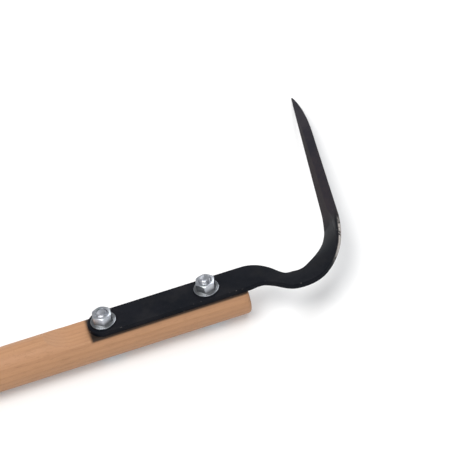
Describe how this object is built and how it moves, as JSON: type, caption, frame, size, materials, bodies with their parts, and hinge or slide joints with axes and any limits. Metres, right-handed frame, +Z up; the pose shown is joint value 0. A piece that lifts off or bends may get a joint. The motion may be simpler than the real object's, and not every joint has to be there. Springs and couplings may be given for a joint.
{
  "type": "flat cutter hoe",
  "caption": "Hand hoe: a flat steel strip with a twisted, two-edged cutting blade, bolted on the milled flat of a long round wooden handle.",
  "frame": {"origin": "on the floor, under the middle of the whole tool's bounding box, as it lies on its two bolt heads and the tip of its blade with the nuts up", "axes": "+X along the handle from the butt towards the hook, +Y the way the blade reaches out, +Z up"},
  "size_m": [1.3002, 0.2162, 0.0409],
  "materials": {
    "handle_wood": "smooth turned hardwood, waxed",
    "black_paint": "semi-gloss black paint, worn to steel along the ground edges",
    "zinc_bolt": "bright zinc plate",
    "zinc_nut": "bright zinc plate"
  },
  "bodies": {
    "root": {"handle": "handle_wood", "cutter": "black_paint", "front_bolt": "zinc_bolt", "rear_bolt": "zinc_bolt", "front_nut": "zinc_nut", "rear_nut": "zinc_nut"}
  },
  "joints": []
}
